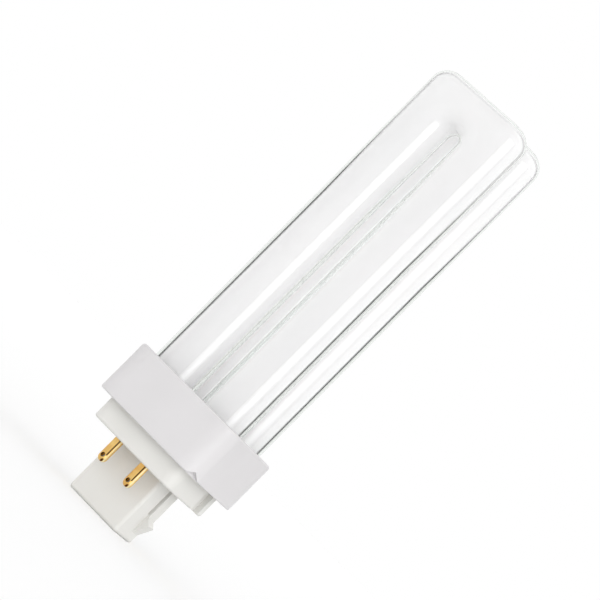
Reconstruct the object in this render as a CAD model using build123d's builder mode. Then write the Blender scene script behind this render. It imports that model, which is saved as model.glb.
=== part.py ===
"""Four pin compact fluorescent lamp: two squared glass bends on a collar and a keyed plug base.

The origin is the centre of the seating plane, the flange's underside, where the pins leave it.
+Z runs along the lamp towards the glass, X from leg to leg of each bend, and -Y is the front.
Lengths are in millimetres.
"""
from build123d import *
from math import asin, degrees, radians, sin, cos, sqrt, tan
import os

# Whole lamp
lamp_length = 131.0
post_length = 15.7

# Glass discharge tube, blown and bent from round tube
tube_diameter = 12.7
glass_wall = 1.0
leg_pitch = 16.6
bend_pitch = 14.8
bend_shoulder = 4.45
leg_foot_height = 10.6
leg_foot_round = 4.0
bridge_diameter = 5.6
bridge_above_foot = 2.9
pinch_width = 10.4
pinch_thickness = 2.6
pinch_length = 3.0
tip_off_diameter = 2.6
tip_off_length = 2.4
tip_off_flat = 0.25

# Lead wires, their sleeves and the solder in the pins
lead_diameter = 0.6
lead_spacing = 4.0
lead_seal_depth = 2.4
lead_bend_radius = 0.8
lead_drop_below_pinch = 1.2
lead_rise_above_pin = 1.4
sleeve_wall = 0.25
sleeve_end_gap = 0.4
solder_rise = 0.05

# Contact pins, rolled from brass strip
pin_circle = 24.0
pin_pitch = 9.0
pin_diameter = 2.45
pin_strip = 0.4
pin_length = 6.6
pin_shank_width = 0.25
pin_rim_width = 0.4
pin_rim_height = 0.5
pin_tip_opening = 0.7
pin_seam_gap = 0.24
pin_seam_turn = 38.0
pin_seam_end = 2.0
pin_eye_diameter = 1.0
pin_eye_height = 1.65

# Collar
collar_height = 14.15
collar_corner = 5.8
collar_top_edge = 0.8
collar_bottom_edge = 0.4
collar_wall = 1.35
collar_step = 0.7
collar_roof = 2.0
collar_rib = 1.2
collar_rib_drop = 4.0
notch_width = 5.0
notch_height = 1.5
notch_depth = 1.2
notch_turn = 58.0

# Plug base: flange, key post and the plate that closes the collar
pin_to_flange_edge = 1.25
flange_height = 5.75
flange_corner = 3.1
flange_edge = 0.6
floor_thickness = 3.0
plate_thickness = 1.55
slot_width = 4.8
slot_depth = 1.3
slot_offset = 6.5
post_width = 16.6
post_depth = 11.8
post_corner = 0.9
post_edge = 0.8
post_front_wall = 1.4
post_side_wall = 2.3
post_end_wall = 1.5
groove_width = 0.8
groove_depth = 1.0
groove_offset = 1.1
rib_height = 0.45
rib_width = 4.2
catch_height = 2.0
catch_tip_above_foot = 6.2
catch_upper_run = 1.9
catch_lower_run = 3.6
catch_width = 3.4

# Clearances
leg_clearance = 0.3
bend_clearance = 1.2
lead_clearance = 0.4
cement_clearance = 0.05
snap_clearance = 0.2
seat_clearance = 0.05

# Cement round the legs
cement_ring_width = 1.3
cement_depth = 1.5
cement_sink = 0.5

# Places worked out from the sizes above
tube_radius = tube_diameter / 2
top_height = lamp_length - post_length
bend_centre = top_height - bend_shoulder - leg_pitch / 2
collar_top = flange_height + collar_height
roof_underside = collar_top - collar_roof
bridge_height = leg_foot_height + bridge_above_foot
pinch_foot = leg_foot_height - pinch_length
pin_radius = pin_diameter / 2
pin_bore = pin_radius - pin_strip
pin_row = sqrt((pin_circle / 2) ** 2 - (pin_pitch / 2) ** 2)
pin_shank = pin_radius + pin_shank_width
pin_rim = pin_radius + pin_rim_width
pin_head = floor_thickness + pin_rim_height
pin_dome = pin_radius - pin_length
solder_top = pin_dome + solder_rise
lead_radius = lead_diameter / 2
plate_top = flange_height + plate_thickness
chamber_width = leg_pitch + tube_diameter + 2 * leg_clearance
chamber_depth = bend_pitch + tube_diameter + 2 * bend_clearance
recess_width = chamber_width + 2 * collar_step
recess_depth = chamber_depth + 2 * collar_step
collar_width = recess_width + 2 * collar_wall
collar_depth = recess_depth + 2 * collar_wall
recess_corner = collar_corner - collar_wall
recess_top = plate_top + seat_clearance
chamber_corner = recess_corner - collar_step
flange_width = 2 * (pin_row + pin_radius + pin_to_flange_edge)
cell_width = leg_pitch + lead_spacing + lead_diameter + 2 * lead_clearance
cell_depth = 2 * (pin_row + pin_rim + seat_clearance)
groove_left = groove_offset - groove_width / 2
catch_start = groove_offset + groove_width / 2

os.makedirs("parts", exist_ok=True)


def save(builder, name):
    """Labels a finished piece and writes it as parts/name.step."""
    builder.part.label = name
    export_step(builder.part, f"parts/{name}.step")


# Discharge tube


def bend_head(inset):
    """The top of both bends, squared in a mould: full corners above an arch, with flat sides."""
    radius = tube_radius - inset
    with BuildPart() as head:
        with BuildSketch(Plane.XY.offset(bend_centre)):
            with Locations((0, -bend_pitch / 2), (0, bend_pitch / 2)):
                SlotCenterToCenter(leg_pitch, 2 * radius)
        extrude(amount=top_height - inset - bend_centre)
        fillet(head.faces().group_by(Axis.Z)[-1].edges(), radius=bend_shoulder - inset)
        with BuildSketch(Plane.XZ.offset(-bend_pitch)):
            with Locations((0, bend_centre)):
                Circle(leg_pitch / 2)
        extrude(amount=2 * bend_pitch, mode=Mode.SUBTRACT)
    return head.part


def glass_form(inset):
    """The vessel's outer form, or with an inset of one wall the space inside it."""
    radius = tube_radius - inset
    head = bend_head(inset)
    with BuildPart() as form:
        with BuildSketch(Plane.XY.offset(leg_foot_height + inset)):
            with GridLocations(leg_pitch, bend_pitch, 2, 2):
                Circle(radius)
        extrude(amount=bend_centre - leg_foot_height - inset)
        fillet(form.faces().group_by(Axis.Z)[0].edges(), radius=leg_foot_round - inset)
        add(head)
        # Under the arch the tube keeps its round section as it turns from leg to leg
        for row in (-bend_pitch / 2, bend_pitch / 2):
            with BuildSketch(Plane((0, row, bend_centre))):
                with Locations((leg_pitch / 2, 0)):
                    Circle(radius)
                    Rectangle(2 * radius, 2 * radius, align=(Align.MIN, Align.CENTER), mode=Mode.SUBTRACT)
            revolve(axis=Axis((0, row, bend_centre), (0, -1, 0)), revolution_arc=180)
        # The bridge joins the two bends into one discharge path
        with BuildSketch(Plane.XZ.offset(-bend_pitch / 2)):
            with Locations((leg_pitch / 2, bridge_height)):
                Circle(bridge_diameter / 2 - inset)
        extrude(amount=bend_pitch)
    return form.part


lead_places = [-(leg_pitch + lead_spacing) / 2, -(leg_pitch - lead_spacing) / 2]
glass_outside = glass_form(0)
glass_inside = glass_form(glass_wall)

with BuildPart() as discharge_tube:
    add(glass_outside)
    # Pinch seals close the two legs that hold the lead wires
    for side in (-1, 1):
        neck_top = Plane((-leg_pitch / 2, side * bend_pitch / 2, leg_foot_height + leg_foot_round))
        with BuildSketch(neck_top):
            Circle(tube_radius)
        with BuildSketch(neck_top.offset(-leg_foot_round)):
            SlotOverall(pinch_width, pinch_thickness)
        loft()
        with BuildSketch(Plane((-leg_pitch / 2, side * bend_pitch / 2, pinch_foot))):
            SlotOverall(pinch_width, pinch_thickness)
        extrude(amount=pinch_length)
    # The stub where the vessel was pumped and sealed
    with BuildSketch(Plane((leg_pitch / 2, bend_pitch / 2, leg_foot_height - tip_off_length))):
        Circle(tip_off_diameter / 2)
    extrude(amount=tip_off_length + glass_wall / 2)
    stub_end = discharge_tube.faces().filter_by(Plane.XY).filter_by(
        lambda face: abs(face.center().Z - leg_foot_height + tip_off_length) < glass_wall / 2
        and face.center().X > 0)
    fillet(stub_end.edges(), radius=tip_off_diameter / 2 - tip_off_flat)
    add(glass_inside, mode=Mode.SUBTRACT)
    with BuildSketch(Plane.XY.offset(pinch_foot)):
        for x in lead_places:
            with Locations((x, -bend_pitch / 2), (x, bend_pitch / 2)):
                Circle(lead_radius + seat_clearance)
    extrude(amount=lead_seal_depth, mode=Mode.SUBTRACT)
save(discharge_tube, "discharge_tube")

# Collar

with BuildPart() as collar:
    with BuildSketch(Plane.XY.offset(flange_height)):
        RectangleRounded(collar_width, collar_depth, collar_corner)
    extrude(amount=collar_height)
    fillet(collar.faces().sort_by(Axis.Z)[-1].edges(), radius=collar_top_edge)
    fillet(collar.faces().sort_by(Axis.Z)[0].edges(), radius=collar_bottom_edge)
    with BuildSketch(Plane.XY.offset(flange_height)):
        RectangleRounded(recess_width, recess_depth, recess_corner)
    extrude(amount=recess_top - flange_height, mode=Mode.SUBTRACT)
    with BuildSketch(Plane.XY.offset(recess_top)):
        RectangleRounded(chamber_width, chamber_depth, chamber_corner)
    extrude(amount=roof_underside - recess_top, mode=Mode.SUBTRACT)
    # Stiffening ribs under the roof run between the legs, clear of the bridge
    with BuildSketch(Plane.XY.offset(roof_underside - collar_rib_drop)):
        Rectangle(collar_rib, chamber_depth)
        Rectangle(chamber_width / 2, collar_rib, align=(Align.MAX, Align.CENTER))
    extrude(amount=collar_rib_drop + collar_roof / 2)
    # Openings for the four legs, two of them joined so that the bridge can pass
    with BuildSketch(Plane.XY.offset(roof_underside)):
        with GridLocations(leg_pitch, bend_pitch, 2, 2):
            Circle(tube_radius + leg_clearance)
        with Locations((leg_pitch / 2, 0)):
            Rectangle(bridge_diameter + 2 * leg_clearance, bend_pitch)
    extrude(amount=collar_roof, mode=Mode.SUBTRACT)
    # Small V notches in the bottom edge, at two opposite corners
    for turn in (0, 180):
        out = Vector(sin(radians(notch_turn)), -cos(radians(notch_turn)), 0).rotate(Axis.Z, turn)
        hub = Vector(collar_width / 2 - collar_corner, collar_corner - collar_depth / 2,
                     flange_height).rotate(Axis.Z, turn)
        notch_plane = Plane(origin=hub + out * (collar_corner - notch_depth),
                            x_dir=out.cross(Vector(0, 0, 1)), z_dir=out)
        with BuildSketch(notch_plane):
            with BuildLine():
                Polyline((-notch_width / 2, 0), (0, notch_height), (notch_width / 2, 0),
                         (0, -notch_height), close=True)
            make_face()
        extrude(amount=2 * notch_depth, mode=Mode.SUBTRACT)
save(collar, "collar")

# Plug base

with BuildPart() as plug_base:
    with BuildSketch(Plane.XY.offset(-post_length)):
        RectangleRounded(post_width, post_depth, post_corner)
    extrude(amount=post_length + floor_thickness / 2)
    fillet(plug_base.faces().sort_by(Axis.Z)[0].edges(), radius=post_edge)
    # On each narrow side: a raised rib, the snap catch under it and a groove beside both
    catch_tip = -post_length + catch_tip_above_foot
    for side in (-1, 1):
        face_x = side * post_width / 2
        with BuildSketch(Plane.XZ.offset(-catch_start - catch_width)):
            with BuildLine():
                Polyline((face_x - side * groove_depth, catch_tip + catch_upper_run),
                         (face_x, catch_tip + catch_upper_run),
                         (face_x + side * catch_height, catch_tip),
                         (face_x, catch_tip - catch_lower_run),
                         (face_x - side * groove_depth, catch_tip - catch_lower_run), close=True)
            make_face()
        extrude(amount=catch_width)
        with BuildSketch(Plane.XY.offset(catch_tip)):
            with Locations((face_x, catch_start)):
                Rectangle(2 * rib_height, rib_width, align=(Align.CENTER, Align.MIN))
        extrude(amount=-catch_tip)
        with BuildSketch(Plane.XY.offset(catch_tip + catch_upper_run)):
            with Locations((face_x, groove_left)):
                Rectangle(2 * groove_depth, groove_width, align=(Align.CENTER, Align.MIN))
        extrude(amount=-catch_tip - catch_upper_run, mode=Mode.SUBTRACT)
    # The flange, with a slot in each side face
    with BuildSketch(Plane.XY):
        RectangleRounded(flange_width, flange_width, flange_corner)
    extrude(amount=flange_height)
    flange_underside = plug_base.faces().filter_by(Plane.XY).filter_by(
        lambda face: abs(face.center().Z) < seat_clearance).sort_by(SortBy.AREA)[-1]
    fillet(flange_underside.outer_wire().edges(), radius=flange_edge)
    for side in (-1, 1):
        with BuildSketch(Plane.XY):
            with Locations((side * flange_width / 2, side * slot_offset)):
                Rectangle(2 * slot_depth, slot_width)
        extrude(amount=flange_height, mode=Mode.SUBTRACT)
    # The plate that sits in the collar's recess
    with BuildSketch(Plane.XY.offset(flange_height)):
        RectangleRounded(recess_width - 2 * snap_clearance, recess_depth - 2 * snap_clearance,
                         recess_corner - snap_clearance)
    extrude(amount=plate_thickness)
    # Wiring space inside the flange, and the hollow of the post below it
    with BuildSketch(Plane.XY.offset(floor_thickness)):
        RectangleRounded(cell_width, cell_depth, flange_corner / 2)
    extrude(amount=plate_top - floor_thickness, mode=Mode.SUBTRACT)
    with BuildSketch(Plane.XY.offset(post_end_wall - post_length)):
        RectangleRounded(post_width - 2 * post_side_wall, post_depth - 2 * post_front_wall, post_corner)
    extrude(amount=post_length - post_end_wall + floor_thickness, mode=Mode.SUBTRACT)
    with BuildSketch(Plane.XY):
        with GridLocations(pin_pitch, 2 * pin_row, 2, 2):
            Circle(pin_shank + seat_clearance)
    extrude(amount=floor_thickness, mode=Mode.SUBTRACT)
save(plug_base, "plug_base")

# Cement between the legs and the collar, a ring round each leg and the filling of the bridge's way in

with BuildPart() as fixing_cement:
    with BuildSketch(Plane.XY.offset(roof_underside - cement_depth)):
        with GridLocations(leg_pitch, bend_pitch, 2, 2):
            Circle(tube_radius + cement_ring_width)
        with Locations((leg_pitch / 2, 0)):
            Rectangle(bridge_diameter, bend_pitch)
        Rectangle(chamber_width - 2 * cement_clearance, chamber_depth - 2 * cement_clearance,
                  mode=Mode.INTERSECT)
        Rectangle(collar_rib + 2 * cement_clearance, chamber_depth, mode=Mode.SUBTRACT)
        Rectangle(chamber_width / 2, collar_rib + 2 * cement_clearance,
                  align=(Align.MAX, Align.CENTER), mode=Mode.SUBTRACT)
    extrude(amount=cement_depth - cement_clearance)
    with BuildSketch(Plane.XY.offset(roof_underside - cement_depth)):
        with Locations((leg_pitch / 2, 0)):
            Rectangle(bridge_diameter, bend_pitch)
    extrude(amount=cement_depth + collar_roof - cement_sink)
    with BuildSketch(Plane.XY.offset(roof_underside - cement_depth)):
        with GridLocations(leg_pitch, bend_pitch, 2, 2):
            Circle(tube_radius + cement_clearance)
    extrude(amount=cement_depth + collar_roof, mode=Mode.SUBTRACT)
save(fixing_cement, "fixing_cement")

# Pins, lead wires, sleeves and solder: one set for each pin, counted from the front left


def contact_pin(x, y, facing):
    """One rolled pin with its seam, its eye and its spread rim; facing is 1 in the front row, or -1."""
    half_opening = pin_tip_opening / 2
    outer_sweep = 90 - degrees(asin(half_opening / pin_radius))
    inner_sweep = 90 - degrees(asin(half_opening / pin_bore))
    with BuildPart() as pin:
        with BuildSketch(Plane(origin=(x, y, 0), x_dir=(1, 0, 0), z_dir=(0, -1, 0))):
            with BuildLine():
                Polyline((pin_bore, pin_dome), (pin_bore, pin_head), (pin_rim, pin_head),
                         (pin_rim, floor_thickness), (pin_shank, floor_thickness), (pin_shank, 0),
                         (pin_radius, 0), (pin_radius, pin_dome))
                outer = CenterArc((0, pin_dome), pin_radius, 0, -outer_sweep)
                inner = CenterArc((0, pin_dome), pin_bore, 0, -inner_sweep)
                Line(outer @ 1, inner @ 1)
            make_face()
        revolve(axis=Axis((x, y, 0), (0, 0, 1)))
        seam_way = Vector(sin(radians(pin_seam_turn)), -cos(radians(pin_seam_turn)), 0) * facing
        with BuildSketch(Plane(origin=(x, y, pin_seam_end - pin_length), x_dir=seam_way, z_dir=(0, 0, 1))):
            Rectangle(2 * pin_radius, pin_seam_gap, align=(Align.MIN, Align.CENTER))
        extrude(amount=pin_length - pin_seam_end + pin_head, mode=Mode.SUBTRACT)
        with BuildSketch(Plane(origin=(x, y, pin_eye_height - pin_length), x_dir=(1, 0, 0),
                               z_dir=(0, -facing, 0))):
            Circle(pin_eye_diameter / 2)
        extrude(amount=2 * pin_radius, mode=Mode.SUBTRACT)
    return pin


def lead_route(x, y, start_x, start_y):
    """Corners of one lead's route, from inside the pinch seal to the solder in its pin."""
    upper = pinch_foot - lead_drop_below_pinch
    lower = pin_head + lead_rise_above_pin
    return [Vector(start_x, start_y, pinch_foot + lead_seal_depth), Vector(start_x, start_y, upper),
            Vector(x, y, lower), Vector(x, y, solder_top)]


def lead_wire(corners):
    """The bare wire along its route."""
    with BuildPart() as lead:
        with BuildLine() as route:
            FilletPolyline(*corners, radius=lead_bend_radius)
        with BuildSketch(Plane(origin=route.line @ 0, z_dir=route.line % 0)):
            Circle(lead_radius)
        sweep()
    return lead


def lead_sleeve(corners):
    """The insulating sleeve on the wire's sloping run, clear of both bends."""
    run = corners[2] - corners[1]
    turn = run.get_angle(Vector(0, 0, -1))
    margin = lead_bend_radius * tan(radians(turn) / 2) + sleeve_end_gap
    along = run.normalized()
    with BuildPart() as sleeve:
        with BuildSketch(Plane(origin=corners[1] + along * margin, z_dir=along)):
            Circle(lead_radius + seat_clearance + sleeve_wall)
            Circle(lead_radius + seat_clearance, mode=Mode.SUBTRACT)
        extrude(amount=run.length - 2 * margin)
    return sleeve


def solder_bead(x, y):
    """The solder that fills the pin's round tip, up to the wire's end."""
    radius = pin_bore - seat_clearance
    with BuildPart() as bead:
        with BuildSketch(Plane(origin=(x, y, 0), x_dir=(1, 0, 0), z_dir=(0, -1, 0))):
            with BuildLine():
                ball = CenterArc((0, pin_dome), radius, -90, 90)
                Polyline(ball @ 1, (radius, solder_top), (0, solder_top), ball @ 0)
            make_face()
        revolve(axis=Axis((x, y, 0), (0, 0, 1)))
    return bead


pin_places = [(-1, -1), (1, -1), (1, 1), (-1, 1)]
for number, (across, front) in enumerate(pin_places, start=1):
    x = across * pin_pitch / 2
    y = front * pin_row
    start_x = -leg_pitch / 2 + across * lead_spacing / 2
    corners = lead_route(x, y, start_x, front * bend_pitch / 2)
    save(contact_pin(x, y, -front), f"contact_pin_{number}")
    save(lead_wire(corners), f"lead_wire_{number}")
    save(lead_sleeve(corners), f"lead_sleeve_{number}")
    save(solder_bead(x, y), f"solder_bead_{number}")
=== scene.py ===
"""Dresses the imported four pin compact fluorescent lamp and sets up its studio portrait.

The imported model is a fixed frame: +Z runs along the lamp towards the glass, X from leg to leg of
each bend, and -Y is the front. Sizes are written in millimetres, as in the part's own source, and
turned to Blender's metres where a mesh is made. The glass vessel is made here, as a clear tube with
a white coat inside it. The mouldings, pins and wiring keep their CAD solids and get finishes.
"""
import logging
import math
from dataclasses import dataclass, field
from enum import Enum

import bmesh
import bpy
from mathutils import Matrix, Vector


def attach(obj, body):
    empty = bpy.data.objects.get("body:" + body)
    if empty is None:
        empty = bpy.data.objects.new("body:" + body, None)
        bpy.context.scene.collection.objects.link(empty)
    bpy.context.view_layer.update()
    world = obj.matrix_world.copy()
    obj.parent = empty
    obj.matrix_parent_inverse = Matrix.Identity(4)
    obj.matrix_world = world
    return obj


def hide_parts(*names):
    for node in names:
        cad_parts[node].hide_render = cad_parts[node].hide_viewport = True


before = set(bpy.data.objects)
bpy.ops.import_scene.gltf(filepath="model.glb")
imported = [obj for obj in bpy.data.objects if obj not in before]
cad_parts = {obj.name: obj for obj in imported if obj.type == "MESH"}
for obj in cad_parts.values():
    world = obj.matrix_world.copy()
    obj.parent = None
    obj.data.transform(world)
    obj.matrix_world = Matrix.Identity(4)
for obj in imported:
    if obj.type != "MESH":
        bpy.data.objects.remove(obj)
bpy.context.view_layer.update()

log = logging.getLogger("lamp")

Colour = tuple[float, float, float, float]
Triple = tuple[float, float, float]

MM = 0.001
# Nearly all the values of a noise texture lie between these
NOISE_SPREAD = (0.3, 0.7)


class Texture(Enum):
    """What a dull, grainy surface is made of."""

    SANDY = "grains set in a paste"
    WOVEN = "threads that cross"


# Colours and nodes


def linear(hex_colour: str) -> Colour:
    """Turns an sRGB colour into the linear one that a shader's socket takes.

    Args:
        hex_colour: Six hex digits, such as "e2e1e2".

    Returns:
        The linear red, green and blue, and an alpha of 1.
    """
    parts = [int(hex_colour[start:start + 2], 16) / 255 for start in (0, 2, 4)]
    return tuple(c / 12.92 if c <= 0.04045 else ((c + 0.055) / 1.055) ** 2.4 for c in parts) + (1.0,)


def grey(level: float) -> Colour:
    """A linear grey of this level."""
    return (level, level, level, 1.0)


def add_node(tree: bpy.types.NodeTree, kind: str, settings: dict | None = None,
             links: dict | None = None) -> bpy.types.Node:
    """Adds a node with its settings and links.

    Args:
        tree: The material's, world's or geometry's node tree.
        kind: The node's type name in bpy.
        settings: Property names, or input names and numbers, with their values.
        links: Input names or numbers, with the output socket that feeds each.

    Returns:
        The new node.
    """
    node = tree.nodes.new(kind)
    for name, value in (settings or {}).items():
        if isinstance(name, str) and hasattr(node, name):
            setattr(node, name, value)
        else:
            node.inputs[name].default_value = value
    for name, socket in (links or {}).items():
        tree.links.new(socket, node.inputs[name])
    return node


def joined(tree: bpy.types.NodeTree, kind: str, operation: str,
           terms: tuple[bpy.types.NodeSocket | float | Triple, ...]) -> bpy.types.NodeSocket:
    """Joins terms by one operation, from left to right.

    Args:
        tree: The node tree.
        kind: The type name of the math node.
        operation: What each node does with two terms.
        terms: Two or more output sockets or plain values.

    Returns:
        The last node's first output.
    """
    result = terms[0]
    for term in terms[1:]:
        pair = {0: result, 1: term}
        sockets = {n: part for n, part in pair.items() if isinstance(part, bpy.types.NodeSocket)}
        values = {n: part for n, part in pair.items() if n not in sockets}
        result = add_node(tree, kind, {"operation": operation, **values}, sockets).outputs[0]
    return result


def maths(tree: bpy.types.NodeTree, operation: str,
          *terms: bpy.types.NodeSocket | float) -> bpy.types.NodeSocket:
    """Joins numbers by one operation, from left to right."""
    return joined(tree, "ShaderNodeMath", operation, terms)


def vectors(tree: bpy.types.NodeTree, operation: str,
            *terms: bpy.types.NodeSocket | Triple) -> bpy.types.NodeSocket:
    """Joins vectors by one operation, from left to right."""
    return joined(tree, "ShaderNodeVectorMath", operation, terms)


def between(tree: bpy.types.NodeTree, source: bpy.types.NodeSocket, start: float, end: float,
            first: float, last: float) -> bpy.types.NodeSocket:
    """Turns one range into another.

    Args:
        tree: The node tree.
        source: The output that is read.
        start: Where in the source the range starts.
        end: Where it ends.
        first: The level up to the start.
        last: The level from the end on.

    Returns:
        A level that goes evenly from first to last.
    """
    return add_node(tree, "ShaderNodeMapRange",
                    {"From Min": start, "From Max": end, "To Min": first, "To Max": last},
                    {"Value": source}).outputs["Result"]


def ramp(tree: bpy.types.NodeTree, source: bpy.types.NodeSocket, stops: list[tuple[float, Colour]],
         easing: str = "LINEAR") -> bpy.types.NodeSocket:
    """Adds a colour ramp.

    Args:
        tree: The node tree.
        source: The output that the ramp reads.
        stops: Places from 0 to 1, each with its linear colour.
        easing: How the ramp goes from stop to stop.

    Returns:
        The ramp's colour output.
    """
    node = add_node(tree, "ShaderNodeValToRGB", links={"Fac": source})
    node.color_ramp.interpolation = easing
    band = node.color_ramp.elements
    while len(band) < len(stops):
        band.new(0.5)
    for stop, (place, colour) in zip(band, stops):
        stop.position = place
        stop.color = colour
    return node.outputs["Color"]


def blended(tree: bpy.types.NodeTree, source: bpy.types.NodeSocket, stops: tuple[float, float],
            low: str, high: str) -> bpy.types.NodeSocket:
    """Turns a level into a colour between two.

    Args:
        tree: The material's tree.
        source: The output that gives the level.
        stops: The levels at which the first and the second colour are reached.
        low: The first colour, as hex digits.
        high: The second one.

    Returns:
        The colour.
    """
    return ramp(tree, source, list(zip(stops, (linear(low), linear(high)))))


def bumped(tree: bpy.types.NodeTree, height: bpy.types.NodeSocket, strength: float,
           depth_mm: float) -> bpy.types.NodeSocket:
    """Adds a bump.

    Args:
        tree: The material's tree.
        height: The output that gives the height, from 0 to 1.
        strength: How much of the bump counts.
        depth_mm: How deep it is.

    Returns:
        The bumped normal.
    """
    return add_node(tree, "ShaderNodeBump", {"Strength": strength, "Distance": depth_mm * MM},
                    {"Height": height}).outputs["Normal"]


def either(tree: bpy.types.NodeTree, share: bpy.types.NodeSocket | float, first: bpy.types.NodeSocket,
           second: bpy.types.NodeSocket) -> bpy.types.NodeSocket:
    """Mixes two shaders.

    Args:
        tree: The material's tree.
        share: How much of the second one shows, as an output or a plain number.
        first: The shader at a share of 0.
        second: The shader at a share of 1.

    Returns:
        The mixed shader.
    """
    links = {1: first, 2: second}
    if isinstance(share, bpy.types.NodeSocket):
        return add_node(tree, "ShaderNodeMixShader", links={0: share, **links}).outputs[0]
    return add_node(tree, "ShaderNodeMixShader", {0: share}, links).outputs[0]


def object_place(tree: bpy.types.NodeTree) -> bpy.types.NodeSocket:
    """The place on the object, in metres."""
    return add_node(tree, "ShaderNodeTexCoord").outputs["Object"]


# Finishes


@dataclass(frozen=True)
class Pattern:
    """A noise of a real size, longer along some axes if it is stretched."""

    size_mm: float
    detail: float
    roughness: float = 0.5
    scale: Triple = (1.0, 1.0, 1.0)

    def add(self, tree: bpy.types.NodeTree, place: bpy.types.NodeSocket) -> bpy.types.NodeSocket:
        """Adds the noise.

        Args:
            tree: The material's tree.
            place: The place on the object.

        Returns:
            The noise's level, about 0.5 on average.
        """
        source = add_node(tree, "ShaderNodeMapping", {"Scale": self.scale}, {"Vector": place}).outputs[0]
        return add_node(tree, "ShaderNodeTexNoise",
                        {"Scale": 1 / (self.size_mm * MM), "Detail": self.detail,
                         "Roughness": self.roughness}, {"Vector": source}).outputs["Fac"]


@dataclass(frozen=True)
class Finish:
    """What all finishes share: a named material whose surface each kind of finish makes."""

    name: str

    def surface(self, tree: bpy.types.NodeTree) -> bpy.types.NodeSocket:
        """Makes the surface's nodes.

        Args:
            tree: The material's tree.

        Returns:
            The surface's shader.
        """
        raise NotImplementedError

    def build(self) -> bpy.types.Material:
        """Makes the material.

        Returns:
            A material with this finish's name and surface.
        """
        material = bpy.data.materials.new(self.name)
        material.use_nodes = True
        tree = material.node_tree
        tree.nodes.clear()
        add_node(tree, "ShaderNodeOutputMaterial", links={"Surface": self.surface(tree)})
        return material


@dataclass(frozen=True)
class SatinPlastic(Finish):
    """Polybutylene terephthalate, moulded in a spark-textured steel mould: white, with a soft sheen."""

    colour: str
    shade: str
    roughness: float = 0.38
    smoother: float = 0.04
    rougher: float = 0.05
    ior: float = 1.5
    grain: Pattern = Pattern(0.22, 3.0, 0.6)
    grain_strength: float = 0.35
    grain_depth_mm: float = 0.004
    flow: Pattern = Pattern(14.0, 2.0, 0.4)
    flow_stops: tuple[float, float] = (0.35, 0.65)

    def surface(self, tree: bpy.types.NodeTree) -> bpy.types.NodeSocket:
        """Makes the surface's nodes.

        Args:
            tree: The material's tree.

        Returns:
            A plastic whose grain breaks up highlights and whose flow marks shift the white a
            little over a centimetre or two, as in thin white mouldings.
        """
        place = object_place(tree)
        grain = self.grain.add(tree, place)
        links = {
            "Base Color": blended(tree, self.flow.add(tree, place), self.flow_stops, self.shade,
                                  self.colour),
            "Roughness": between(tree, grain, *NOISE_SPREAD, self.roughness - self.smoother,
                                 self.roughness + self.rougher),
            "Normal": bumped(tree, grain, self.grain_strength, self.grain_depth_mm)}
        return add_node(tree, "ShaderNodeBsdfPrincipled", {"IOR": self.ior}, links).outputs[0]


@dataclass(frozen=True)
class ClearGlass(Finish):
    """Lead glass tube, drawn and blown: clear, smooth, with dark edges where it bends the light."""

    name: str = "drawn_lead_glass"
    ior: float = 1.5
    colour: str = "fdfefd"

    def surface(self, tree: bpy.types.NodeTree) -> bpy.types.NodeSocket:
        """Makes the surface's nodes.

        Args:
            tree: The material's tree.

        Returns:
            Real glass for what the eye sees, clear to lamp rays and to the light that the coat
            inside gathers, so that the coat is lit through it.
        """
        glass = add_node(tree, "ShaderNodeBsdfGlass",
                         {"Color": linear(self.colour), "IOR": self.ior, "Roughness": 0.0})
        clear = add_node(tree, "ShaderNodeBsdfTransparent")
        path = add_node(tree, "ShaderNodeLightPath")
        gathers = maths(tree, "MAXIMUM", path.outputs["Is Shadow Ray"], path.outputs["Is Diffuse Ray"])
        return either(tree, gathers, glass.outputs[0], clear.outputs[0])


@dataclass(frozen=True)
class PhosphorCoat(Finish):
    """Phosphor powder, washed through the tube and baked on: matt and white, faintly pink."""

    name: str = "baked_phosphor"
    colour: str = "fefbfe"
    thin: str = "fbf9fc"
    inside: str = "fffefe"
    lets_through: float = 0.45
    glows_through: float = 0.65
    wash: Pattern = Pattern(11.0, 3.0, 0.45, (1.0, 1.0, 0.35))
    wash_stops: tuple[float, float] = (0.3, 0.6)
    powder: Pattern = Pattern(0.35, 2.0)
    powder_strength: float = 0.15
    powder_depth_mm: float = 0.01

    def surface(self, tree: bpy.types.NodeTree) -> bpy.types.NodeSocket:
        """Makes the surface's nodes.

        Args:
            tree: The material's tree.

        Returns:
            A matt white whose wash lines run down the legs, with a fine speckle of powder, drawn
            about ten times as coarse as the real grains so that it shows at all. Matt surfaces
            gather part of their light straight through it, so that what is beside it stays light.
        """
        place = object_place(tree)
        front = add_node(tree, "ShaderNodeBsdfDiffuse", links={
            "Color": blended(tree, self.wash.add(tree, place), self.wash_stops, self.thin,
                             self.colour),
            "Normal": bumped(tree, self.powder.add(tree, place), self.powder_strength,
                             self.powder_depth_mm)}).outputs[0]
        through = add_node(tree, "ShaderNodeBsdfTranslucent", {"Color": linear(self.inside)}).outputs[0]
        powdery = either(tree, self.lets_through, front, through)
        clear = add_node(tree, "ShaderNodeBsdfTransparent").outputs[0]
        glowing = either(tree, self.glows_through, powdery, clear)
        path = add_node(tree, "ShaderNodeLightPath")
        shader = powdery
        for ray in ("Is Diffuse Ray", "Is Shadow Ray"):
            shader = either(tree, path.outputs[ray], shader, glowing)
        return shader


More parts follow.
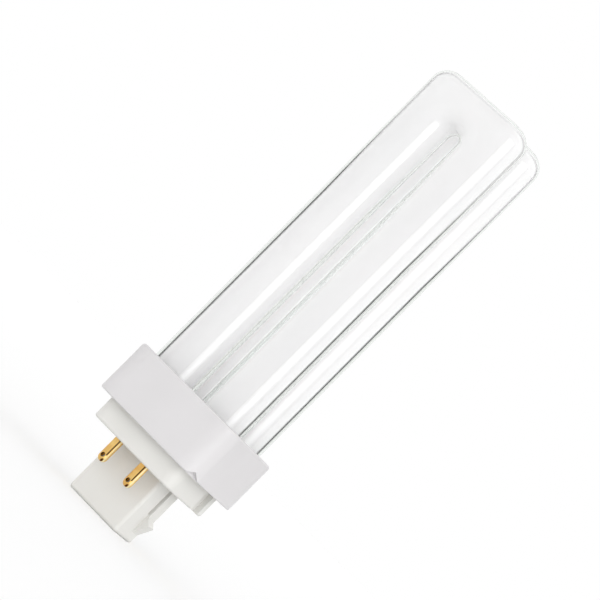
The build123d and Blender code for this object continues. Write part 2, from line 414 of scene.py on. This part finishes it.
@dataclass(frozen=True)
class WorkedMetal(Finish):
    """A bright metal, drawn or melted, with its own pattern of fine marks."""

    colour: str
    worn: str
    roughness: float
    marks: Pattern = Pattern(0.12, 3.0, 0.6, (1.0, 1.0, 0.05))
    mark_strength: float = 0.25
    mark_depth_mm: float = 0.004
    smoother: float = 0.8
    rougher: float = 1.3
    tone: Pattern = Pattern(2.5, 2.0)
    tone_stops: tuple[float, float] = (0.35, 0.62)

    def toned(self, tree: bpy.types.NodeTree, place: bpy.types.NodeSocket) -> bpy.types.NodeSocket:
        """Makes the metal's own colour.

        Args:
            tree: The material's tree.
            place: The place on the object, in metres.

        Returns:
            A colour that shifts between the bright and the worn one.
        """
        return blended(tree, self.tone.add(tree, place), self.tone_stops, self.worn, self.colour)

    def metal(self, tree: bpy.types.NodeTree, colour: bpy.types.NodeSocket, roughness: bpy.types.NodeSocket,
              marks: bpy.types.NodeSocket) -> bpy.types.NodeSocket:
        """Makes the metal's shader.

        Args:
            tree: The material's tree.
            colour: Its colour.
            roughness: Its roughness.
            marks: The height of its marks.

        Returns:
            The shader.
        """
        normal = bumped(tree, marks, self.mark_strength, self.mark_depth_mm)
        return add_node(tree, "ShaderNodeBsdfPrincipled", {"Metallic": 1.0},
                        {"Base Color": colour, "Roughness": roughness, "Normal": normal}).outputs[0]

    def surface(self, tree: bpy.types.NodeTree) -> bpy.types.NodeSocket:
        """Makes the surface's nodes.

        Args:
            tree: The material's tree.

        Returns:
            A metal whose marks run along the piece, which streaks its reflections.
        """
        place = object_place(tree)
        marks = self.marks.add(tree, place)
        gloss = between(tree, marks, *NOISE_SPREAD, self.roughness * self.smoother,
                        self.roughness * self.rougher)
        return self.metal(tree, self.toned(tree, place), gloss, marks)


@dataclass(frozen=True)
class Mark:
    """The places near a point, a line or a plane beside a pin's axis, in millimetres."""

    counts: Triple
    centre: Triple
    reach: float
    fringe: float = 0.14

    def add(self, tree: bpy.types.NodeTree, place: bpy.types.NodeSocket) -> bpy.types.NodeSocket:
        """Adds the mark. Each axis counts as far as its share says: at 0 it is left out.

        Args:
            tree: The material's tree.
            place: The place about the pin's axis, in millimetres.

        Returns:
            1 on the mark, fading to 0 over the fringe.
        """
        counted = vectors(tree, "MULTIPLY", vectors(tree, "SUBTRACT", place, self.centre), self.counts)
        far = add_node(tree, "ShaderNodeVectorMath", {"operation": "LENGTH"}, {0: counted})
        return between(tree, far.outputs["Value"], self.reach, self.reach + self.fringe, 1.0, 0.0)


@dataclass(frozen=True)
class RolledBrass(WorkedMetal):
    """Bright brass strip rolled into hollow pins: streaked along the pin, with a painted highlight as a
    pale band beside the seam, and painted shade in the seam, the eye and the crimped tip."""

    name: str = "rolled_brass"
    colour: str = "f8d183"
    worn: str = "edbc6c"
    roughness: float = 0.28
    # Painted highlight: a pale colour laid on as a band beside the seam
    painted_highlight: str = "fff2c0"
    # Painted shade: a dark brown for the seam, the eye and the crimped tip, with a rougher finish there
    painted_shade: str = "5e330f"
    painted_shade_roughness: float = 0.6
    pin_across: float = 4.5
    pin_front: float = 11.1243
    seam_turn: float = 38.0
    seam_end: float = -4.6
    seam_shade_share: float = 0.6
    seam: Mark = Mark((1.0, 0.0, 0.0), (0.0, 0.0, 0.0), 0.13)
    highlight_band: Mark = Mark((1.0, 0.0, 0.0), (0.5, 0.0, 0.0), 0.12)
    eye: Mark = Mark((1.0, 0.25, 1.0), (0.0, -1.2, -4.95), 0.5)
    tip: Mark = Mark((1.0, 0.4, 0.5), (0.0, -0.9, -6.15), 0.22)

    def pin_axes(self, tree: bpy.types.NodeTree, place: bpy.types.NodeSocket
                 ) -> tuple[bpy.types.NodeSocket, bpy.types.NodeSocket]:
        """Turns a place on any of the four pins into one about the pin's own axis.

        Args:
            tree: The material's tree.
            place: The place in the frame, in metres.

        Returns:
            The place in millimetres, with X to the pin's right, -Y out through its eye and Z as in
            the frame; and the same turned so that -Y goes out through the seam.
        """
        signs = add_node(tree, "ShaderNodeVectorMath", {"operation": "SIGN"}, {0: place}).outputs[0]
        middle = vectors(tree, "MULTIPLY", signs, (self.pin_across * MM, self.pin_front * MM, 0.0))
        row = add_node(tree, "ShaderNodeSeparateXYZ", links={0: signs}).outputs["Y"]
        facing = maths(tree, "MULTIPLY", row, -1.0)
        both = add_node(tree, "ShaderNodeCombineXYZ", {"Z": 1.0}, {"X": facing, "Y": facing}).outputs[0]
        turned = vectors(tree, "MULTIPLY", vectors(tree, "SUBTRACT", place, middle), both)
        from_eye = add_node(tree, "ShaderNodeVectorMath", {"operation": "SCALE", "Scale": 1 / MM},
                            {0: turned}).outputs[0]
        from_seam = add_node(tree, "ShaderNodeVectorRotate",
                             {"rotation_type": "Z_AXIS", "Angle": -math.radians(self.seam_turn)},
                             {"Vector": from_eye}).outputs[0]
        return from_eye, from_seam

    def surface(self, tree: bpy.types.NodeTree) -> bpy.types.NodeSocket:
        """Makes the surface's nodes.

        Args:
            tree: The material's tree.

        Returns:
            A metal whose streaks, painted highlight and painted shade follow each pin.
        """
        place = object_place(tree)
        from_eye, from_seam = self.pin_axes(tree, place)
        split = add_node(tree, "ShaderNodeSeparateXYZ", links={0: from_seam})
        seam_side = maths(tree, "LESS_THAN", split.outputs["Y"], 0.0)
        above_end = maths(tree, "GREATER_THAN", split.outputs["Z"], self.seam_end)
        # Painted shade: the seam, the eye and the crimped tip are coloured dark brown, standing in for the
        # shade in these hollows
        in_seam = maths(tree, "MULTIPLY", self.seam.add(tree, from_seam), seam_side, above_end,
                        self.seam_shade_share)
        painted_shade_share = maths(tree, "MAXIMUM", in_seam, self.eye.add(tree, from_eye),
                        self.tip.add(tree, from_seam))
        # Painted highlight: a pale band beside the seam, on the seam's side of the pin
        on_highlight = maths(tree, "MULTIPLY", self.highlight_band.add(tree, from_seam), seam_side)
        colour = self.toned(tree, place)
        for share, over in ((on_highlight, self.painted_highlight), (painted_shade_share, self.painted_shade)):
            colour = add_node(tree, "ShaderNodeMix", {"data_type": "RGBA", 7: linear(over)},
                              {0: share, 6: colour}).outputs[2]
        gloss = between(tree, painted_shade_share, 0.0, 1.0, self.roughness, self.painted_shade_roughness)
        return self.metal(tree, colour, gloss, self.marks.add(tree, place))


@dataclass(frozen=True)
class DullGrain(Finish):
    """A dull, grainy stuff: basing cement, or the woven glass fibre of a sleeve."""

    colour: str
    shade: str
    grain_mm: float
    depth_mm: float
    texture: Texture = Texture.SANDY
    roughness: float = 0.85
    strength: float = 0.6
    sand_detail: float = 4.0
    sand_roughness: float = 0.7
    threads_per_grain: float = 0.16
    thread_waver: float = 0.6

    def threads(self, tree: bpy.types.NodeTree, place: bpy.types.NodeSocket) -> bpy.types.NodeSocket:
        """Makes the height of crossed threads.

        Args:
            tree: The material's tree.
            place: The place on the object, in metres.

        Returns:
            The height, from 0 to 1.
        """
        runs = []
        for way in (1.0, -1.0):
            turned = add_node(tree, "ShaderNodeMapping", {"Scale": (1.0, 1.0, way)}, {"Vector": place})
            wave = add_node(tree, "ShaderNodeTexWave",
                            {"bands_direction": "DIAGONAL", "Distortion": self.thread_waver,
                             "Scale": self.threads_per_grain / (self.grain_mm * MM)},
                            {"Vector": turned.outputs[0]})
            runs.append(wave.outputs["Fac"])
        return maths(tree, "MAXIMUM", *runs)

    def surface(self, tree: bpy.types.NodeTree) -> bpy.types.NodeSocket:
        """Makes the surface's nodes.

        Args:
            tree: The material's tree.

        Returns:
            A matt surface with crossed threads if it is woven, or else with sandy grains.
        """
        place = object_place(tree)
        if self.texture is Texture.WOVEN:
            height = self.threads(tree, place)
        else:
            height = Pattern(self.grain_mm, self.sand_detail, self.sand_roughness).add(tree, place)
        return add_node(tree, "ShaderNodeBsdfPrincipled", {"Roughness": self.roughness},
                        {"Base Color": blended(tree, height, NOISE_SPREAD, self.shade, self.colour),
                         "Normal": bumped(tree, height, self.strength, self.depth_mm)}).outputs[0]


# Meshes


def skin(name: str, surfaces: list[list[list[Vector]]], inward: tuple[bool, ...]) -> bpy.types.Mesh:
    """Makes closed tubes out of rings of points.

    Args:
        name: The mesh's name.
        surfaces: One list of rings for each closed surface, in millimetres. Each ring runs the same
            way round, and the rings follow each other from one end to the other.
        inward: Whether each surface faces its own inside, as the inner wall of a tube does.

    Returns:
        A smooth mesh in metres.
    """
    build = bmesh.new()
    for rings, turned in zip(surfaces, inward):
        loops = [[build.verts.new(point * MM) for point in ring] for ring in rings]
        count = len(loops[0])
        made = [build.faces.new((low[n], low[(n + 1) % count], high[(n + 1) % count], high[n]))
                for low, high in zip(loops, loops[1:]) for n in range(count)]
        for ring in (loops[0], loops[-1]):
            middle = build.verts.new(sum((v.co for v in ring), Vector()) / count)
            made += [build.faces.new((ring[n], ring[(n + 1) % count], middle)) for n in range(count)]
        bmesh.ops.recalc_face_normals(build, faces=made)
        if turned:
            bmesh.ops.reverse_faces(build, faces=made)
    mesh = bpy.data.meshes.new(name)
    build.to_mesh(mesh)
    build.free()
    mesh.shade_smooth()
    return mesh


def piece_from(mesh: bpy.types.Mesh) -> bpy.types.Object:
    """Links a mesh into the scene as an object of the same name."""
    piece = bpy.data.objects.new(mesh.name, mesh)
    bpy.context.scene.collection.objects.link(piece)
    return piece


def grown(seed: bpy.types.Object, tree: bpy.types.NodeTree, inputs: dict[str, float | int],
          name: str) -> bpy.types.Object:
    """Runs a geometry node tree on an object and keeps the result as a plain mesh.

    Args:
        seed: The object that the tree starts from, which is then deleted.
        tree: The tree.
        inputs: The values of its named inputs.
        name: The new piece's name.

    Returns:
        The new piece, with no modifier left on it.
    """
    modifier = seed.modifiers.new("grow", "NODES")
    modifier.node_group = tree
    for item in tree.interface.items_tree:
        if item.in_out == "INPUT" and item.name in inputs:
            modifier[item.identifier] = inputs[item.name]
    bpy.context.view_layer.update()
    graph = bpy.context.evaluated_depsgraph_get()
    mesh = bpy.data.meshes.new_from_object(seed.evaluated_get(graph), depsgraph=graph)
    mesh.name = name
    seed.modifiers.remove(modifier)
    old = seed.data
    bpy.data.objects.remove(seed)
    bpy.data.meshes.remove(old)
    return piece_from(mesh)


@dataclass
class GlassVessel:
    """The sealed glass vessel: two squared bends of clear tube, each with a white coat inside it."""

    tube_diameter: float = 12.7
    wall: float = 1.0
    head_wall: float = 0.3
    thins_from: float = 74.0
    thins_to: float = 104.0
    coat_gap: float = 0.03
    leg_pitch: float = 16.6
    bends: int = 2
    bend_pitch: float = 14.8
    bend_shoulder: float = 4.45
    top: float = 115.3
    foot: float = 10.6
    foot_round: float = 4.0
    points_round: int = 192
    bend_stations: int = 60
    foot_stations: int = 6
    thinning_rings: int = 8
    straight_shares: tuple[float, ...] = (0.004, 0.5)
    bisections: int = 32
    glass: ClearGlass = field(default_factory=ClearGlass)
    coat: PhosphorCoat = field(default_factory=PhosphorCoat)

    @property
    def bend_centre(self) -> float:
        """The height of the arch's centre."""
        return self.top - self.bend_shoulder - self.leg_pitch / 2

    @property
    def turns(self) -> list[float]:
        """The angles of a ring's points."""
        return [2 * math.pi * n / self.points_round for n in range(self.points_round)]

    def inset_at(self, inset: float, height: float) -> float:
        """How deep a surface lies at some height: the wall is drawn thinner where the head is blown.

        Args:
            inset: How deep it lies in the straight legs.
            height: The height above the seating plane.

        Returns:
            The depth there, in millimetres.
        """
        share = min(max((height - self.thins_from) / (self.thins_to - self.thins_from), 0.0), 1.0)
        return inset * (1 + (self.head_wall / self.wall - 1) * share)

    def outside(self, point: Vector, inset: float) -> float:
        """How far a point is outside the squared head of a bend.

        Args:
            point: A point of the bend whose axis lies in the plane y = 0.
            inset: How far inside the glass's outer surface the wanted surface lies.

        Returns:
            The distance in millimetres, negative inside.
        """
        radius = self.tube_diameter / 2 - inset
        rounding = self.bend_shoulder - inset
        side = math.hypot(max(abs(point.x) - self.leg_pitch / 2, 0.0), point.y) - radius + rounding
        cap = point.z - self.top + inset + rounding
        return min(max(side, cap), 0.0) + math.hypot(max(side, 0.0), max(cap, 0.0)) - rounding

    def reach(self, start: Vector, way: Vector, inset: float) -> float:
        """How far it is from a point on the tube's middle line to the head's surface.

        Args:
            start: The point, inside the head.
            way: A unit vector.
            inset: As for outside.

        Returns:
            The distance in millimetres.
        """
        near, far = 0.0, 2 * self.tube_diameter
        for _ in range(self.bisections):
            middle = (near + far) / 2
            if self.outside(start + way * middle, inset) < 0:
                near = middle
            else:
                far = middle
        return near

    def leg_stations(self, inset: float) -> list[tuple[float, float]]:
        """Where the rings of a leg lie, from its round foot to the start of the bend.

        Args:
            inset: How far inside the glass's outer surface they lie.

        Returns:
            The height and the radius of each ring.
        """
        radius = self.tube_diameter / 2 - inset
        rounding = self.foot_round - inset
        stations = []
        for n in range(self.foot_stations, -1, -1):
            turn = math.pi / 2 * n / self.foot_stations
            stations.append((self.foot + inset + rounding * (1 - math.sin(turn)),
                             radius - rounding * (1 - math.cos(turn))))
        straight = stations[-1][0]
        # The ring just above the foot keeps the shading of the straight leg straight
        heights = [straight + (self.bend_centre - straight) * share for share in self.straight_shares]
        step = (self.bend_centre - self.thins_from) / self.thinning_rings
        heights += [self.thins_from + step * n for n in range(self.thinning_rings)]
        return stations + [(height, self.tube_diameter / 2 - self.inset_at(inset, height))
                           for height in heights]

    def leg_ring(self, side: int, height: float, radius: float) -> list[Vector]:
        """Makes one ring of a straight leg.

        Args:
            side: -1 for the left leg, 1 for the right one.
            height: The ring's height.
            radius: Its radius.

        Returns:
            The ring's points.
        """
        return [Vector((side * (self.leg_pitch / 2 + radius * math.cos(a)), radius * math.sin(a), height))
                for a in self.turns]

    def bend_ring(self, station: int, inset: float) -> list[Vector]:
        """Makes one ring of the bend.

        Args:
            station: Its number, from the left leg over the top to the right one.
            inset: How far inside the glass's outer surface it lies in the legs.

        Returns:
            The ring's points, on the arch's round inside and on the head's squared outside.
        """
        turn = math.pi * (1 - station / self.bend_stations)
        out = Vector((math.cos(turn), 0, math.sin(turn)))
        start = Vector((0, 0, self.bend_centre)) + out * (self.leg_pitch / 2)
        here = self.inset_at(inset, start.z)
        ring = []
        for a in self.turns:
            way = out * math.cos(a) + Vector((0, math.sin(a), 0))
            far = self.reach(start, way, here) if math.cos(a) > 0 else self.tube_diameter / 2 - here
            ring.append(start + way * far)
        return ring

    def rings(self, inset: float) -> list[list[Vector]]:
        """The rings of one bend, from the foot of its left leg over the top to its right foot.

        Args:
            inset: How far inside the glass's outer surface they lie.

        Returns:
            The rings, for a bend whose axis lies in the plane y = 0.
        """
        leg = self.leg_stations(inset)
        return ([self.leg_ring(-1, *station) for station in leg]
                + [self.bend_ring(station, inset) for station in range(self.bend_stations + 1)]
                + [self.leg_ring(1, *station) for station in reversed(leg)])

    def rows(self, name: str, material: bpy.types.Material) -> bpy.types.NodeTree:
        """Makes the geometry nodes that set one bend out along Y.

        Args:
            name: The tree's name.
            material: What all the bends are made of.

        Returns:
            The tree, with the number of bends and their pitch as inputs.
        """
        tree = bpy.data.node_groups.new(name, "GeometryNodeTree")
        for label, way, kind in (("Geometry", "INPUT", "Geometry"), ("Bends", "INPUT", "Int"),
                                 ("Bend pitch", "INPUT", "Float"), ("Geometry", "OUTPUT", "Geometry")):
            tree.interface.new_socket(label, in_out=way, socket_type=f"NodeSocket{kind}")
        given = add_node(tree, "NodeGroupInput")
        half = maths(tree, "MULTIPLY", given.outputs["Bend pitch"], -0.5)
        first = add_node(tree, "ShaderNodeCombineXYZ", links={"Y": half})
        step = add_node(tree, "ShaderNodeCombineXYZ", links={"Y": given.outputs["Bend pitch"]})
        row = add_node(tree, "GeometryNodeMeshLine",
                       links={"Count": given.outputs["Bends"], "Start Location": first.outputs[0],
                              "Offset": step.outputs[0]})
        bends = add_node(tree, "GeometryNodeInstanceOnPoints",
                         links={"Points": row.outputs[0], "Instance": given.outputs["Geometry"]})
        real = add_node(tree, "GeometryNodeRealizeInstances", links={"Geometry": bends.outputs[0]})
        coloured = add_node(tree, "GeometryNodeSetMaterial", {"Material": material},
                            {"Geometry": real.outputs[0]})
        add_node(tree, "NodeGroupOutput", links={0: coloured.outputs[0]})
        return tree

    def pair(self, name: str, insets: tuple[float, ...], inward: tuple[bool, ...],
             finish: Finish) -> bpy.types.Object:
        """Makes one bend and sets it out as often as the vessel has bends.

        Args:
            name: The piece's name.
            insets: The depth of each closed surface under the glass's outside.
            inward: Whether each of them faces inwards.
            finish: The finish.

        Returns:
            The piece, which rides on the frame's one body.
        """
        one = piece_from(skin(f"{name}_one_bend", [self.rings(inset) for inset in insets], inward))
        tree = self.rows(f"{name}_rows", finish.build())
        piece = grown(one, tree, {"Bends": self.bends, "Bend pitch": self.bend_pitch * MM}, name)
        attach(piece, "root")
        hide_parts("discharge_tube")
        return piece

    def build(self) -> list[bpy.types.Object]:
        """Makes the clear tube and the white coat inside it.

        Returns:
            Both pieces.
        """
        tube = self.pair("glass_tube", (0.0, self.wall), (False, True), self.glass)
        coat = self.pair("phosphor_coat", (self.wall + self.coat_gap,), (False,), self.coat)
        return [tube, coat]


# Pieces that keep their CAD solids


def dress_node(node: str, material: bpy.types.Material) -> bpy.types.Object:
    """Gives a CAD node a material and leaves its mesh alone.

    Args:
        node: The node's name.
        material: Its new material.

    Returns:
        The node's object.
    """
    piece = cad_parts[node]
    for place in piece.material_slots:
        place.material = material
    return piece


@dataclass
class Mouldings:
    """The two mouldings of the cap: the collar and the plug base."""

    collar: SatinPlastic = SatinPlastic("moulded_collar_white", "d8d6d7", "d5d3d4")
    base: SatinPlastic = SatinPlastic("moulded_base_white", "dfdeda", "dcdbd7")

    def dress(self) -> list[bpy.types.Object]:
        """Gives each moulding its plastic and returns them."""
        return [dress_node("collar", self.collar.build()), dress_node("plug_base", self.base.build())]


@dataclass
class Wiring:
    """The four pins with their wires, sleeves and solder, and the cement round the legs."""

    sets: int = 4
    brass: RolledBrass = RolledBrass()
    wire: WorkedMetal = WorkedMetal("drawn_nickel_wire", "c9c4bc", "bdb7ae", 0.28)
    solder: WorkedMetal = WorkedMetal("tin_solder", "cbcbc9", "b4b4b2", 0.35, Pattern(0.3, 3.0, 0.6))
    sleeve: DullGrain = DullGrain("woven_glass_sleeve", "ece7d8", "cfc8b4", 0.22, 0.06, Texture.WOVEN)
    cement: DullGrain = DullGrain("basing_cement", "dcdcd6", "c3c3bb", 0.3, 0.05)

    def dress(self) -> list[bpy.types.Object]:
        """Gives each piece its finish.

        Returns:
            The dressed pieces.
        """
        finishes = {"contact_pin": self.brass.build(), "lead_wire": self.wire.build(),
                    "solder_bead": self.solder.build(), "lead_sleeve": self.sleeve.build()}
        dressed = [dress_node(f"{kind}_{n}", material) for kind, material in finishes.items()
                   for n in range(1, self.sets + 1)]
        dressed.append(dress_node("fixing_cement", self.cement.build()))
        return dressed


# Camera and studio


def from_target(azimuth: float, elevation: float) -> Vector:
    """The unit vector from the lamp to what stands at these angles, where azimuth 0 is the front."""
    a, e = math.radians(azimuth), math.radians(elevation)
    return Vector((math.sin(a) * math.cos(e), -math.cos(a) * math.cos(e), math.sin(e)))


def flat_card(name: str, half_width: float, half_height: float) -> bpy.types.Mesh:
    """Makes a flat rectangle that faces +Z.

    Args:
        name: The mesh's name.
        half_width: Half its size along X, in metres.
        half_height: Half its size along Y, in metres.

    Returns:
        The mesh.
    """
    mesh = bpy.data.meshes.new(name)
    corners = [(x * half_width, y * half_height, 0.0) for x, y in ((-1, -1), (1, -1), (1, 1), (-1, 1))]
    mesh.from_pydata(corners, [], [(0, 1, 2, 3)])
    return mesh


@dataclass(frozen=True)
class PortraitCamera:
    """The photo's view: long lens, low, and rolled so that the lamp lies across the frame.

    Lengths of the scene are in millimetres, and so are the lens and the sensor.
    """

    azimuth: float = 24.53
    elevation: float = -2.5
    roll: float = 44.92
    distance: float = 760.0
    lens: float = 196.3
    sensor: float = 36.0
    aside: float = -2.15
    target_z: float = 52.3
    clip_m: tuple[float, float] = (0.05, 50.0)

    def build(self) -> bpy.types.Object:
        """Makes the camera and makes it the scene's own.

        Returns:
            The camera.
        """
        a, r = math.radians(self.azimuth), math.radians(self.roll)
        back = from_target(self.azimuth, self.elevation)
        level = Vector((math.cos(a), math.sin(a), 0))
        upright = back.cross(level)
        right = level * math.cos(r) + upright * math.sin(r)
        up = upright * math.cos(r) - level * math.sin(r)
        eye = Vector((0, 0, self.target_z)) + level * self.aside + back * self.distance
        data = bpy.data.cameras.new("portrait_camera")
        data.lens = self.lens
        data.sensor_width = self.sensor
        data.clip_start, data.clip_end = self.clip_m
        camera = bpy.data.objects.new("portrait_camera", data)
        bpy.context.scene.collection.objects.link(camera)
        turn = Matrix((right, up, back)).transposed().to_4x4()
        camera.matrix_world = Matrix.Translation(eye * MM) @ turn
        bpy.context.scene.camera = camera
        return camera


@dataclass(frozen=True)
class CardGlow(Finish):
    """The glow of a soft box, brightest along its middle and dark behind."""

    level: float
    half_width: float
    fade: float
    soft_edge: float

    def surface(self, tree: bpy.types.NodeTree) -> bpy.types.NodeSocket:
        """Makes the surface's nodes.

        Args:
            tree: The material's tree.

        Returns:
            Light on the front that fades towards the upright edges, and none on the back.
        """
        across = add_node(tree, "ShaderNodeSeparateXYZ", links={0: object_place(tree)}).outputs["X"]
        spread = between(tree, across, -self.half_width, self.half_width, 0.0, 1.0)
        dim, full = grey(1.0 - self.fade), grey(1.0)
        colour = ramp(tree, spread, [(0.0, dim), (self.soft_edge, full), (1.0 - self.soft_edge, full),
                                     (1.0, dim)], "EASE")
        shine = add_node(tree, "ShaderNodeEmission", {"Strength": self.level}, {"Color": colour})
        dark = add_node(tree, "ShaderNodeEmission", {"Strength": 0.0})
        behind = add_node(tree, "ShaderNodeNewGeometry").outputs["Backfacing"]
        return either(tree, behind, shine.outputs[0], dark.outputs[0])


@dataclass(frozen=True)
class SoftBox:
    """A lit card that only gloss and glass show. Its sizes and its distance are in metres."""

    name: str
    azimuth: float
    elevation: float
    distance: float
    width: float
    height: float
    level: float
    fade: float
    soft_edge: float = 0.45

    def build(self, target: Vector) -> bpy.types.Object:
        """Makes the card and turns it towards the lamp.

        Args:
            target: The point that it faces.

        Returns:
            The card.
        """
        half_width = self.width / 2
        glow = CardGlow(self.name, self.level, half_width, self.fade, self.soft_edge)
        card = piece_from(flat_card(self.name, half_width, self.height / 2))
        card.data.materials.append(glow.build())
        back = from_target(self.azimuth, self.elevation)
        card.location = target + back * self.distance
        card.rotation_mode = "QUATERNION"
        card.rotation_quaternion = (-back).to_track_quat("Z", "Y")
        card.visible_camera = False
        card.visible_diffuse = False
        return card


@dataclass(frozen=True)
class FloorPaint(Finish):
    """White paint that looks a little lighter to the eye than it is, so that it meets the backdrop."""

    white: str
    lift: float

    def surface(self, tree: bpy.types.NodeTree) -> bpy.types.NodeSocket:
        """Makes the surface's nodes.

        Args:
            tree: The material's tree.

        Returns:
            Plain matt paint, with a little added to what the camera sees of it.
        """
        paint = add_node(tree, "ShaderNodeBsdfDiffuse", {"Color": linear(self.white)}).outputs[0]
        glow = add_node(tree, "ShaderNodeEmission", {"Strength": self.lift}).outputs[0]
        lifted = add_node(tree, "ShaderNodeAddShader", links={0: paint, 1: glow}).outputs[0]
        seen = add_node(tree, "ShaderNodeLightPath").outputs["Is Camera Ray"]
        return either(tree, seen, paint, lifted)


@dataclass
class Studio:
    """A white sweep with soft light all round, more of it from the front right.

    For gloss and glass the walls have a level of their own, with a strip box and a reflector on the
    right and two upright dark flags behind, all placed by their azimuth in degrees.
    """

    camera: PortraitCamera = PortraitCamera()
    floor: FloorPaint = FloorPaint("painted_floor", "efefef", 0.155)
    floor_z: float = -15.7
    floor_half_m: float = 6.0
    room_light: float = 1.14
    backdrop_light: float = 1.5
    backdrop_blend: tuple[float, float] = (-0.4, 0.6)
    key_light: float = 1.05
    key_azimuth: float = 42.0
    key_blend: tuple[float, float] = (0.2, 1.0)
    overhead_light: float = 0.45
    overhead_blend: tuple[float, float] = (0.45, 0.9)
    room_gloss: float = 0.8
    backdrop_gloss: float = 1.0
    gloss_blend: tuple[float, float] = (-0.5, 0.2)
    reflector_gloss: float = 0.6
    reflector_azimuth: float = 108.0
    reflector_blend: tuple[float, float] = (0.7, 1.0)
    flag_light: float = 0.07
    flags_aside: tuple[float, ...] = (49.0, -49.0)
    flag_half_width: float = 12.0
    flag_soft_edge: float = 3.0
    boxes: tuple[SoftBox, ...] = (
        SoftBox("strip_box", azimuth=64.5, elevation=4.0, distance=1.0, width=1.0, height=0.85,
                level=3.6, fade=0.9),
    )

    def build(self) -> list[bpy.types.Object]:
        """Sets the soft boxes, the floor and the surroundings.

        Returns:
            The staged objects.
        """
        target = Vector((0, 0, self.camera.target_z * MM))
        staged = [box.build(target) for box in self.boxes]
        staged.append(self.lay_floor())
        self.surround()
        bpy.context.scene.view_settings.view_transform = "Standard"
        return staged

    def lay_floor(self) -> bpy.types.Object:
        """Makes the white floor, which keeps the lamp's shadow.

        Returns:
            The floor.
        """
        mesh = flat_card("studio_floor", self.floor_half_m, self.floor_half_m)
        mesh.transform(Matrix.Translation((0, 0, self.floor_z * MM)))
        mesh.materials.append(self.floor.build())
        floor = piece_from(mesh)
        return floor

    def facing(self, tree: bpy.types.NodeTree, azimuth: float) -> bpy.types.NodeSocket:
        """How nearly a direction points to an azimuth.

        Args:
            tree: The world's tree.
            azimuth: The azimuth in degrees.

        Returns:
            The cosine of the angle between the two, seen from above.
        """
        way = add_node(tree, "ShaderNodeTexCoord").outputs["Generated"]
        flat = vectors(tree, "MULTIPLY", way, (1.0, 1.0, 0.0))
        unit = add_node(tree, "ShaderNodeVectorMath", {"operation": "NORMALIZE"}, {0: flat}).outputs[0]
        dot = add_node(tree, "ShaderNodeVectorMath",
                       {"operation": "DOT_PRODUCT", 1: tuple(from_target(azimuth, 0.0))}, {0: unit})
        return dot.outputs["Value"]

    def soft_light(self, tree: bpy.types.NodeTree) -> bpy.types.NodeSocket:
        """Makes the light that matt surfaces gather.

        Args:
            tree: The world's tree.

        Returns:
            Its level: brighter behind and at the front right, and plain overhead.
        """
        behind = self.facing(tree, self.camera.azimuth + 180)
        walls = between(tree, behind, *self.backdrop_blend, self.room_light, self.backdrop_light)
        key = between(tree, self.facing(tree, self.key_azimuth), *self.key_blend, 0.0, self.key_light)
        way = add_node(tree, "ShaderNodeTexCoord").outputs["Generated"]
        height = add_node(tree, "ShaderNodeSeparateXYZ", links={0: way}).outputs["Z"]
        overhead = between(tree, height, *self.overhead_blend, 0.0, 1.0)
        return add_node(tree, "ShaderNodeMix", {"data_type": "FLOAT", 3: self.overhead_light},
                        {0: overhead, 2: maths(tree, "ADD", walls, key)}).outputs[0]

    def glossy_walls(self, tree: bpy.types.NodeTree) -> bpy.types.NodeSocket:
        """Makes what gloss and glass show: white walls, a reflector and the dark flags, which draw
        the thin dark lines along the edges of the glass.

        Args:
            tree: The world's tree.

        Returns:
            The level of the walls.
        """
        behind = self.camera.azimuth + 180
        plain = between(tree, self.facing(tree, behind), *self.gloss_blend, self.room_gloss,
                        self.backdrop_gloss)
        reflector = between(tree, self.facing(tree, self.reflector_azimuth), *self.reflector_blend,
                            0.0, self.reflector_gloss)
        edge, core = (math.cos(math.radians(self.flag_half_width - inside))
                      for inside in (0.0, self.flag_soft_edge))
        flags = [between(tree, self.facing(tree, behind + aside), edge, core, 1.0, self.flag_light)
                 for aside in self.flags_aside]
        return maths(tree, "MULTIPLY", maths(tree, "ADD", plain, reflector), *flags)

    def surround(self) -> None:
        """Sets the world: white to the eye, soft light for what is matt, and walls for what shines."""
        world = bpy.data.worlds.new("white_studio")
        bpy.context.scene.world = world
        world.use_nodes = True
        tree = world.node_tree
        tree.nodes.clear()
        path = add_node(tree, "ShaderNodeLightPath").outputs
        shines = maths(tree, "MAXIMUM", path["Is Glossy Ray"], path["Is Transmission Ray"])
        light = add_node(tree, "ShaderNodeMix", {"data_type": "FLOAT"},
                         {0: shines, 2: self.soft_light(tree), 3: self.glossy_walls(tree)})
        seen = add_node(tree, "ShaderNodeMix", {"data_type": "FLOAT", 3: 1.0},
                        {0: path["Is Camera Ray"], 2: light.outputs[0]})
        sky = add_node(tree, "ShaderNodeBackground", {"Color": grey(1.0)}, {"Strength": seen.outputs[0]})
        add_node(tree, "ShaderNodeOutputWorld", links={"Surface": sky.outputs[0]})


def main() -> None:
    """Builds the lamp's pieces, the studio and the camera in order, and reports each."""
    logging.basicConfig(level=logging.INFO, format="%(name)s: %(message)s")
    camera = PortraitCamera()
    for step, make in (("glass vessel", GlassVessel().build), ("mouldings", Mouldings().dress),
                       ("pins and wiring", Wiring().dress), ("studio", Studio(camera).build)):
        for piece in make():
            log.info("%s: %s, %d faces", step, piece.name, len(piece.data.polygons))
    log.info("camera: %s", camera.build().name)


if __name__ == "__main__":
    main()
